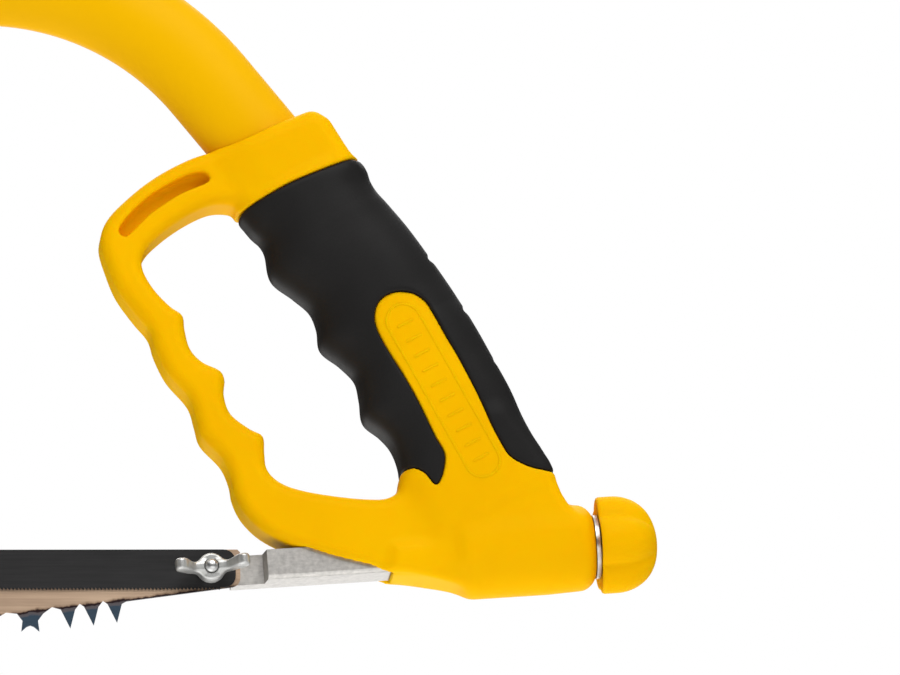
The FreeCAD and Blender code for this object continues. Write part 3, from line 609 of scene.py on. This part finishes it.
def tube_section(x, z, distance, nose_start):
    """Half width, half depth, centre y and squareness of the tube at a place."""
    near_nose = distance > nose_start - PRESSED_RUN / 2
    pressed = np.clip((TONGUE_TOP + 6 - z) / PRESSED_RUN, 0, 1) if near_nose else 0
    pressed = pressed ** 2 * (3 - 2 * pressed)
    wide = through([0, 60 + REAR_BEND, nose_start], [TUBE_REAR, TUBE_REAR, TUBE_NOSE], distance)
    half_width = wide / 2 * (1 - pressed) + TONGUE_HALF * pressed
    half_depth = TUBE_DEPTH / 2 * (1 - pressed) + TONGUE_THICK / 2 * pressed
    if z < 0 and distance > nose_start:
        half_width = math.sqrt(max(TONGUE_HALF ** 2 - z ** 2, 0.01))
    return half_width, half_depth, TONGUE_BACK * pressed, 2 + 1.5 * pressed


def make_tube():
    """The oval tube, swept along its bends and pressed flat at the nose."""
    stations = tube_stations(3)
    nose_start = sum(length for length, _ in tube_runs())
    around = 72
    vertices = []
    for x, z, heading, distance in stations:
        half_width, half_depth, middle, square = tube_section(x, z, distance, nose_start)
        for k in range(around):
            angle = 2 * math.pi * k / around
            c = math.copysign(abs(math.cos(angle)) ** (2 / square), math.cos(angle)) * half_width
            s = math.copysign(abs(math.sin(angle)) ** (2 / square), math.sin(angle)) * half_depth
            vertices.append((x - math.sin(heading) * c, middle + s, z + math.cos(heading) * c))
    return make_mesh("tube_skin", np.array(vertices), ring_faces(len(stations), around))


# ---------------------------------------------------------------- knob

KNOB_START = 117.6
DOME_START = 121.6
KNOB_END = 134.8
DOME_RADIUS = 14.2
KNOB_LOBES = 5
LOBE_CENTRE = 7
LOBE_RADIUS = 8
LOBE_TURN = math.radians(-3)


def knob_edge(angle):
    """The knob's radius at an angle: five round lobes with soft valleys."""
    pitch = 2 * math.pi / KNOB_LOBES
    off = (angle - LOBE_TURN + pitch / 2) % pitch - pitch / 2
    sizes = []
    for turn in (off, off - pitch, off + pitch):
        under = LOBE_RADIUS ** 2 - (LOBE_CENTRE * math.sin(turn)) ** 2
        sizes.append(LOBE_CENTRE * math.cos(turn) + math.sqrt(max(under, 0)))
    # the largest of the three, with soft corners where they meet
    sharp = 2.6
    reach = LOBE_CENTRE + LOBE_RADIUS
    return math.log(sum(math.exp(sharp * (s - reach)) for s in sizes)) / sharp + reach


def make_knob():
    """The lobed knob: a straight skirt and a long dome."""
    skirt = KNOB_START + 0.2
    rings = [(KNOB_START, 0.55), (KNOB_START, 0.8), (KNOB_START - 0.5, 0.86), (KNOB_START - 0.6, 0.94),
             (KNOB_START - 0.4, 0.98), (skirt, 1.0)]
    rings += [(skirt + k * (DOME_START - skirt) / 3, 1.0) for k in (1, 2, 3)]
    steps = 28
    for k in range(1, steps):
        angle = 0.5 * math.pi * k / steps
        rings.append((DOME_START + (KNOB_END - DOME_START) * math.sin(angle), math.cos(angle) ** 0.86))
    around = 160
    vertices = []
    for along, share in rings:
        for k in range(around):
            angle = 2 * math.pi * k / around
            # the lobes die out only near the crown
            lobed = min(max((share - 0.15) / 0.5, 0), 1)
            radius = share * (knob_edge(angle) * lobed + DOME_RADIUS * (1 - lobed))
            vertices.append((along, -radius * math.cos(angle), radius * math.sin(angle)))
    faces = [face[::-1] for face in ring_faces(len(rings), around)]
    return make_mesh("knob_skin", np.array(vertices), faces, turn=TILT)


# ---------------------------------------------------------------- wing nuts

HUB_LOW = 4.4
HUB_TOP = 4
HUB_HEIGHT = 4.6
WING_TURN = math.radians(4.5)
WING_HALF = 1.5
WING_EDGE = 0.9
STUD_RADIUS = 2
WING = [(1.5, 0.4), (4.4, 0.8), (7.4, 2.4), (10.2, 5.6), (11.2, 8.6), (10.9, 11), (9.4, 11.9), (7.6, 11),
        (6.2, 8.1), (4.6, 5.4), (1.5, 4.8)]


def wing_nut(seat):
    """The solid of a wing nut that stands on the given y, its wings level."""
    loop = smooth_loop(WING, 4)

    def solid(x, y, z):
        up = seat - y
        radial = np.hypot(x, z)
        flank = (radial - HUB_LOW + (HUB_LOW - HUB_TOP) * up / HUB_HEIGHT) * 0.97
        hub = common(flank, np.maximum(-up, up - HUB_HEIGHT), 0.7)
        # the wings grow a little thicker towards their tips
        thick = WING_HALF + 0.25 * np.clip((up - 5) / 4, 0, 1)
        wing = slab(outline_distance(np.abs(x), up, loop), z, thick, WING_EDGE)
        nut = union(hub, wing, 1.4)
        return carve(nut, radial - STUD_RADIUS - 0.1, 0.3)

    return solid


def make_wing_nut(name, node, x):
    """A cast wing nut in the place of its CAD node."""
    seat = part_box(node)[1].y / MM
    vertices, normals, quads = surface(wing_nut(seat), (-12.4, seat - 12.6, -5), (12.4, seat + 0.6, 5), 0.2)
    vertices[:, 0] += x
    return make_mesh(name, vertices, quads.tolist(), normals, turn=WING_TURN, about=(x, 0))


# ---------------------------------------------------------------- blade studs

HEAD_RADIUS = 4.2
HEAD_THICK = 2.4


def make_stud(name, node, x):
    """A turned stud with a domed front end and a round head at the back, in the place of its CAD node."""
    low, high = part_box(node)
    front = low.y / MM
    back = high.y / MM
    seat = back - HEAD_THICK
    rings = [(front + 1.3 * (1 - math.cos(a)), STUD_RADIUS * math.sin(a)) for a in np.linspace(0.08, 1.4, 9)]
    rings += [(front + 1.6, STUD_RADIUS), (seat, STUD_RADIUS), (seat, HEAD_RADIUS - 0.2),
              (seat + 0.2, HEAD_RADIUS), (back - 0.7, HEAD_RADIUS), (back - 0.2, HEAD_RADIUS - 0.4),
              (back, HEAD_RADIUS - 1)]
    around = 48
    vertices = []
    for y, radius in rings:
        for k in range(around):
            angle = 2 * math.pi * k / around
            vertices.append((x + radius * math.cos(angle), y, radius * math.sin(angle)))
    stud = make_mesh(name, np.array(vertices), ring_faces(len(rings), around))
    stud.data.set_sharp_from_angle(angle=math.radians(40))
    return stud


# ---------------------------------------------------------------- materials

def new_material(name, **values):
    """A Principled material with its constant values set on the shader."""
    made = bpy.data.materials.new(name)
    made.use_nodes = True
    shader = made.node_tree.nodes["Principled BSDF"]
    for socket, value in values.items():
        shader.inputs[socket.replace("_", " ")].default_value = value
    return made


def add(made, kind, inputs=None, **settings):
    """A node in a material, with settings and input values."""
    node = made.node_tree.nodes.new(kind)
    for key, value in settings.items():
        setattr(node, key, value)
    for key, value in (inputs or {}).items():
        node.inputs[key].default_value = value
    return node


def link(made, start, end):
    """Join two sockets."""
    made.node_tree.links.new(start, end)


def local_place(made, stretch=(1, 1, 1), turn=(0, 0, 0)):
    """The surface's place in the piece, stretched."""
    place = add(made, "ShaderNodeTexCoord")
    mapping = add(made, "ShaderNodeMapping", {"Scale": stretch, "Rotation": turn})
    link(made, place.outputs["Object"], mapping.inputs["Vector"])
    return mapping.outputs["Vector"]


def noise(made, place, scale, detail=4, rough=0.5):
    """Noise with the given number of grains to the metre."""
    node = add(made, "ShaderNodeTexNoise", {"Scale": scale, "Detail": detail, "Roughness": rough})
    link(made, place, node.inputs["Vector"])
    return node.outputs["Fac"]


def ramp(made, value, stops):
    """Colours by value."""
    node = add(made, "ShaderNodeValToRGB")
    while len(node.color_ramp.elements) < len(stops):
        node.color_ramp.elements.new(0.5)
    for element, (place, colour) in zip(node.color_ramp.elements, stops):
        element.position = place
        element.color = (*colour, 1)
    link(made, value, node.inputs["Fac"])
    return node.outputs["Color"]


def math_node(made, operation, *values):
    """One sum on sockets or numbers."""
    node = add(made, "ShaderNodeMath", operation=operation)
    for k, value in enumerate(values):
        if isinstance(value, (int, float)):
            node.inputs[k].default_value = value
        else:
            link(made, value, node.inputs[k])
    return node.outputs[0]


def span(made, value, low, high, start=0.0, end=1.0):
    """A value between start and end, which are 0 and 1 as a rule, brought between two limits."""
    node = add(made, "ShaderNodeMapRange",
               {"From Min": start, "From Max": end, "To Min": low, "To Max": high})
    link(made, value, node.inputs["Value"])
    return node.outputs["Result"]


def shade(made, colour=None, roughness=None, heights=()):
    """Join colour, roughness and stacked bumps to the shader."""
    shader = made.node_tree.nodes["Principled BSDF"]
    if colour is not None:
        link(made, colour, shader.inputs["Base Color"])
    if roughness is not None:
        link(made, roughness, shader.inputs["Roughness"])
    below = None
    for height, strength, distance in heights:
        bump = add(made, "ShaderNodeBump", {"Strength": strength, "Distance": distance})
        link(made, height, bump.inputs["Height"])
        if below:
            link(made, below, bump.inputs["Normal"])
        below = bump.outputs["Normal"]
    if below:
        link(made, below, shader.inputs["Normal"])
    return made


def yellow_plastic():
    """Glass-filled nylon with the fine grain of a spark-eroded mould."""
    made = new_material("yellow_plastic", IOR=1.07, Subsurface_Weight=0.25, Subsurface_Scale=0.003,
                        Subsurface_Radius=(1, 0.35, 0.05))
    place = local_place(made)
    cloud = noise(made, place, 22, 3)
    grain = noise(made, place, 2600, 2)
    colour = ramp(made, cloud, [(0.3, (0.875, 0.452, 0.0)), (0.7, (0.93, 0.497, 0.0))])
    return shade(made, colour, span(made, grain, 0.4, 0.52), [(grain, 0.16, 0.0001), (cloud, 0.05, 0.001)])


def tube_paint():
    """Powder coat with a faint orange peel."""
    made = new_material("tube_paint", IOR=1.12)
    place = local_place(made)
    cloud = noise(made, place, 14, 3)
    peel = noise(made, place, 700, 2)
    fine = noise(made, place, 3200, 2)
    colour = ramp(made, cloud, [(0.3, (0.845, 0.442, 0.0)), (0.7, (0.885, 0.472, 0.0))])
    return shade(made, colour, span(made, fine, 0.34, 0.44), [(peel, 0.12, 0.00025), (fine, 0.06, 0.0001)])


def black_rubber():
    """Soft-touch rubber with a fine pebble and slightly shinier rubbed places."""
    made = new_material("black_rubber", IOR=1.2)
    place = local_place(made)
    cloud = noise(made, place, 30, 4)
    pebble = add(made, "ShaderNodeTexVoronoi", {"Scale": 2300})
    link(made, place, pebble.inputs["Vector"])
    fine = noise(made, place, 4200, 2)
    colour = ramp(made, cloud, [(0.3, (0.0115, 0.011, 0.0108)), (0.75, (0.015, 0.0144, 0.0142))])
    return shade(made, colour, span(made, cloud, 0.42, 0.56),
                 [(pebble.outputs["Distance"], 0.12, 0.00012), (fine, 0.06, 0.0001)])


def brushed(name, tone, rough, stretch, grains=(900, 30), turn=(0, 0, 0), strength=0.1, dull=0.86):
    """Metal with fine lines along one direction and faint clouds in its plating."""
    made = new_material(name, Metallic=1.0)
    lines_place = local_place(made, stretch, turn)
    place = local_place(made)
    lines = noise(made, lines_place, grains[0], 5, 0.65)
    cloud = noise(made, place, grains[1], 4)
    dark = tuple(dull * t for t in tone)
    both = math_node(made, "MULTIPLY_ADD", lines, 0.45, math_node(made, "MULTIPLY", cloud, 0.55))
    colour = ramp(made, both, [(0.32, dark), (0.68, tone)])
    return shade(made, colour, span(made, both, rough - 0.08, rough + 0.1), [(lines, strength, 0.0001)])


def cast_zinc():
    """Tumbled die-cast zinc: grainy, with dull hollows."""
    made = new_material("cast_zinc", Metallic=0.9)
    place = local_place(made)
    cloud = noise(made, place, 260, 4)
    grain = noise(made, place, 2600, 3)
    colour = ramp(made, cloud, [(0.3, (0.42, 0.42, 0.40)), (0.7, (0.6, 0.6, 0.585))])
    return shade(made, colour, span(made, grain, 0.34, 0.5), [(cloud, 0.2, 0.0003), (grain, 0.15, 0.0001)])


def threaded(name, tone, pitch):
    """A rolled thread, drawn as ridges along the tilted tension axis."""
    made = new_material(name, Metallic=1.0)
    place = local_place(made, turn=(0, TILT, 0))
    ridges = add(made, "ShaderNodeTexWave", {"Scale": 1 / (pitch * 20), "Distortion": 0.0, "Detail": 0.0},
                 wave_type="BANDS", bands_direction="X")
    link(made, place, ridges.inputs["Vector"])
    cloud = noise(made, place, 300, 3)
    colour = ramp(made, cloud, [(0.3, tuple(0.85 * t for t in tone)), (0.7, tone)])
    return shade(made, colour, span(made, cloud, 0.25, 0.4), [(ridges.outputs["Fac"], 0.8, pitch / 3)])


def black_blade():
    """Black lacquered spring steel, rolled along its length."""
    made = new_material("black_blade", Specular_IOR_Level=0.5, Metallic=0.35)
    place = local_place(made)
    lines = noise(made, local_place(made, (0.03, 1, 1)), 1500, 5, 0.6)
    cloud = noise(made, place, 45, 5)
    colour = ramp(made, lines, [(0.3, (0.011, 0.0106, 0.011)), (0.7, (0.020, 0.0193, 0.020))])
    return shade(made, colour, span(made, cloud, 0.34, 0.5), [(lines, 0.12, 0.0001)])


WOOD_TAPER = 0.1214
WOOD_ROOT = 14.2
WOOD_END_ROOT = 5.1
WOOD_END = 9
TOOTH_ZONE = 0.004
RAGGED = 0.0008


def above_root(made):
    """How far above the wood blade's root line a point lies, which falls from both ends to a level middle."""
    split = add(made, "ShaderNodeSeparateXYZ")
    link(made, add(made, "ShaderNodeTexCoord").outputs["Object"], split.inputs["Vector"])
    rear_end = (ORIGIN[0] + WOOD_END) * MM
    front_end = (ORIGIN[0] + FRONT_STUD - WOOD_END) * MM
    from_rear = math_node(made, "SUBTRACT", rear_end, split.outputs["X"])
    from_front = math_node(made, "SUBTRACT", split.outputs["X"], front_end)
    slope = math_node(made, "MINIMUM", math_node(made, "MULTIPLY", from_rear, WOOD_TAPER),
                      math_node(made, "MULTIPLY", from_front, WOOD_TAPER))
    drop = math_node(made, "MINIMUM", math_node(made, "ADD", slope, WOOD_END_ROOT * MM), WOOD_ROOT * MM)
    root = math_node(made, "SUBTRACT", ORIGIN[2] * MM, drop)
    return math_node(made, "SUBTRACT", split.outputs["Z"], root)


def bronze_blade():
    """Lacquered blade steel, bronze-brown above the teeth and blue where the teeth are hardened."""
    made = new_material("bronze_blade", Metallic=1.0)
    place = local_place(made)
    uneven = math_node(made, "MULTIPLY_ADD", noise(made, place, 420, 3), 2 * RAGGED, -RAGGED)
    height = math_node(made, "ADD", above_root(made), uneven)
    zone = span(made, height, 0.0, 1.0, -TOOTH_ZONE, TOOTH_ZONE)
    lines = noise(made, local_place(made, (0.03, 1, 1)), 1300, 5, 0.6)
    cloud = noise(made, place, 28, 4)
    body = ramp(made, math_node(made, "ADD", math_node(made, "MULTIPLY", lines, 0.5),
                                math_node(made, "MULTIPLY", cloud, 0.5)),
                [(0.34, (0.42, 0.29, 0.20)), (0.5, (0.52, 0.37, 0.26)), (0.66, (0.61, 0.445, 0.315))])
    teeth = ramp(made, zone, [(0.34, (0.052, 0.080, 0.112)), (0.42, (0.125, 0.115, 0.125)),
                              (0.49, (0.115, 0.10, 0.105)), (0.51, (0.03, 0.02, 0.022)),
                              (0.56, (0.035, 0.02, 0.02)), (0.61, (0.26, 0.16, 0.10))])
    is_body = ramp(made, zone, [(0.56, (0, 0, 0)), (0.66, (1, 1, 1))])
    mixed = add(made, "ShaderNodeMix", data_type="RGBA")
    link(made, is_body, mixed.inputs["Factor"])
    link(made, teeth, mixed.inputs["A"])
    link(made, body, mixed.inputs["B"])
    return shade(made, mixed.outputs["Result"], span(made, lines, 0.4, 0.54), [(lines, 0.12, 0.0001)])


def floor_paint():
    """A pale, plain floor with the faintest mottling, which glows a little, like a light table."""
    made = new_material("floor_paint", Specular_IOR_Level=0.2, Emission_Color=(1, 1, 0.995, 1),
                        Emission_Strength=0.3)
    cloud = noise(made, local_place(made), 0.8, 4)
    return shade(made, ramp(made, cloud, [(0.3, (0.86, 0.86, 0.855)), (0.7, (0.89, 0.89, 0.885))]),
                 span(made, cloud, 0.7, 0.8))


def wear(piece, made):
    """Give a piece its material."""
    slots = piece.data.materials
    if not slots:
        slots.append(made)
    for k in range(len(slots)):
        slots[k] = made


# ---------------------------------------------------------------- studio

def soft_box(name, place, aim, width, height, power):
    """A large soft lamp."""
    lamp = bpy.data.lights.new(name, "AREA")
    lamp.shape = "RECTANGLE"
    lamp.size = width
    lamp.size_y = height
    lamp.energy = power
    made = in_scene(name, lamp)
    made.location = place
    made.rotation_mode = "QUATERNION"
    made.rotation_quaternion = (Vector(aim) - Vector(place)).to_track_quat("-Z", "Y")


def make_camera():
    """A very long lens, a little below the saw and to its left."""
    heading = math.radians(4.8)
    rise = math.radians(14)
    roll = math.radians(-1.1638)
    away = 4
    aim = Vector(((ORIGIN[0] + 73.53) * MM, 0, (ORIGIN[2] + 72.29) * MM))
    forward = Vector((math.sin(heading) * math.cos(rise), math.cos(heading) * math.cos(rise), math.sin(rise)))
    lens = bpy.data.cameras.new("camera")
    lens.sensor_width = 36
    lens.lens = 531.2
    lens.clip_end = 60
    made = in_scene("camera", lens)
    made.location = aim - away * forward
    made.rotation_mode = "QUATERNION"
    made.rotation_quaternion = forward.to_track_quat("-Z", "Y") @ Quaternion((0, 0, 1), roll)
    bpy.context.scene.camera = made


WORLD_LIT = 0.07
WORLD_SEEN = 1.0


def make_world():
    """White behind the saw, and a dimmer even light from all round."""
    world = bpy.data.worlds.new("studio")
    bpy.context.scene.world = world
    world.use_nodes = True
    tree = world.node_tree
    tree.nodes.clear()
    output = tree.nodes.new("ShaderNodeOutputWorld")
    mix = tree.nodes.new("ShaderNodeMixShader")
    path = tree.nodes.new("ShaderNodeLightPath")
    tree.links.new(path.outputs["Is Camera Ray"], mix.inputs["Fac"])
    for socket, strength in ((1, WORLD_LIT), (2, WORLD_SEEN)):
        back = tree.nodes.new("ShaderNodeBackground")
        back.inputs["Strength"].default_value = strength
        back.inputs["Color"].default_value = (1, 1, 1, 1)
        tree.links.new(back.outputs["Background"], mix.inputs[socket])
    tree.links.new(mix.outputs["Shader"], output.inputs["Surface"])


def make_floor():
    """A wide floor well below the saw, which the camera looks over from below the saw's level."""
    half = 15
    depth = -1.25
    count = 9
    steps = np.linspace(-half, half, count)
    points = [(x, y, depth) for y in steps for x in steps]
    firsts = [row * count + column for row in range(count - 1) for column in range(count - 1)]
    faces = [[k, k + 1, k + count + 1, k + count] for k in firsts]
    mesh = bpy.data.meshes.new("floor")
    mesh.from_pydata(points, [], faces)
    floor = in_scene("floor", mesh)
    wear(floor, floor_paint())


def make_lights():
    """Soft boxes in front, above, behind and at the sides."""
    middle = (0.06, 0, 0.1)
    soft_box("front_top", (0.4, -1.5, 1.6), middle, 1.8, 1.4, 33)
    soft_box("front_low", (0.6, -2.0, -0.7), middle, 1.8, 0.9, 6)
    soft_box("below", (-0.25, -0.1, -1.1), middle, 1.5, 1.1, 4.5)
    soft_box("back_top", (0.1, 1.5, 1.4), middle, 1.8, 1.2, 14)
    soft_box("back_low", (0.1, 2.2, -0.5), middle, 2.6, 0.8, 8)
    soft_box("left_side", (-2.0, -0.5, 0.5), middle, 1.2, 1.4, 2)
    soft_box("right_side", (2.1, -0.5, 0.5), middle, 1.2, 1.4, 4)
    soft_box("over_floor", (0, 0, 5), (0, 0, 0), 9, 9, 220)


# ---------------------------------------------------------------- the whole saw

make_camera()
make_world()
make_floor()
make_lights()
bpy.context.scene.view_settings.view_transform = "Standard"

FINISH = {
    "tube_paint": tube_paint(),
    "yellow_plastic": yellow_plastic(),
    "black_rubber": black_rubber(),
    "cast_zinc": cast_zinc(),
    "zinc_steel": brushed("zinc_steel", (0.62, 0.62, 0.61), 0.3, (1, 1, 1), (1400, 200), strength=0.06),
    "threaded_steel": threaded("threaded_steel", (0.6, 0.6, 0.6), 0.001),
    "brass_bush": brushed("brass_bush", (0.76, 0.6, 0.3), 0.3, (1, 0.05, 0.05), (1400, 200), strength=0.06),
    "carrier_steel": brushed("carrier_steel", (0.68, 0.655, 0.62), 0.42, (0.3, 1, 1), (1500, 700),
                             turn=(0, TILT, 0), strength=0.12, dull=0.66),
    "black_blade": black_blade(),
    "bronze_blade": bronze_blade(),
}


def finish_node(name, slot):
    """A CAD piece that stays, with its material."""
    wear(NODES[name], FINISH[slot])


def stand_for(piece, node, body, slot):
    """A piece made here in the place of a CAD node."""
    wear(piece, FINISH[slot])
    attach(piece, body)
    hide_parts(node)


HANDLE_LOW = (-35, -17, -11)
HANDLE_HIGH = (118, 17, 147)
HANDLE_STEP = 0.7
SLEEVE_LOW = (5, -17, 18)
SLEEVE_HIGH = (118, 17, 130)
SLEEVE_STEP = 0.6
stand_for(mould("handle_moulding", hard_moulding, HANDLE_LOW, HANDLE_HIGH, HANDLE_STEP),
          "handle_body", "frame", "yellow_plastic")
stand_for(mould("grip_sleeve", soft_sleeve, SLEEVE_LOW, SLEEVE_HIGH, SLEEVE_STEP),
          "soft_grip", "frame", "black_rubber")
for name, side in (("front_inlay_relief", -1), ("back_inlay_relief", 1)):
    stand_for(make_inlay_relief(name, side), "handle_body", "frame", "yellow_plastic")
stand_for(make_tube(), "frame_tube", "frame", "tube_paint")
stand_for(make_knob(), "tension_knob", "knob", "yellow_plastic")
stand_for(make_wing_nut("rear_nut_casting", "rear_wing_nut", 0), "rear_wing_nut", "rear_nut", "cast_zinc")
stand_for(make_wing_nut("front_nut_casting", "front_wing_nut", FRONT_STUD), "front_wing_nut", "front_nut",
          "cast_zinc")
stand_for(make_stud("rear_stud_turned", "rear_blade_stud", 0), "rear_blade_stud", "carrier", "zinc_steel")
stand_for(make_stud("front_stud_turned", "front_blade_stud", FRONT_STUD), "front_blade_stud", "frame",
          "zinc_steel")

for name, slot in {
    "retaining_pin": "zinc_steel", "thrust_washer": "zinc_steel", "block_rivets": "zinc_steel",
    "rear_washer": "zinc_steel", "front_washer": "zinc_steel", "barrel_bush": "brass_bush",
    "knob_insert": "brass_bush", "tension_rod": "threaded_steel", "blade_carrier": "carrier_steel",
    "rod_block": "carrier_steel", "metal_blade": "black_blade", "wood_blade": "bronze_blade",
}.items():
    finish_node(name, slot)
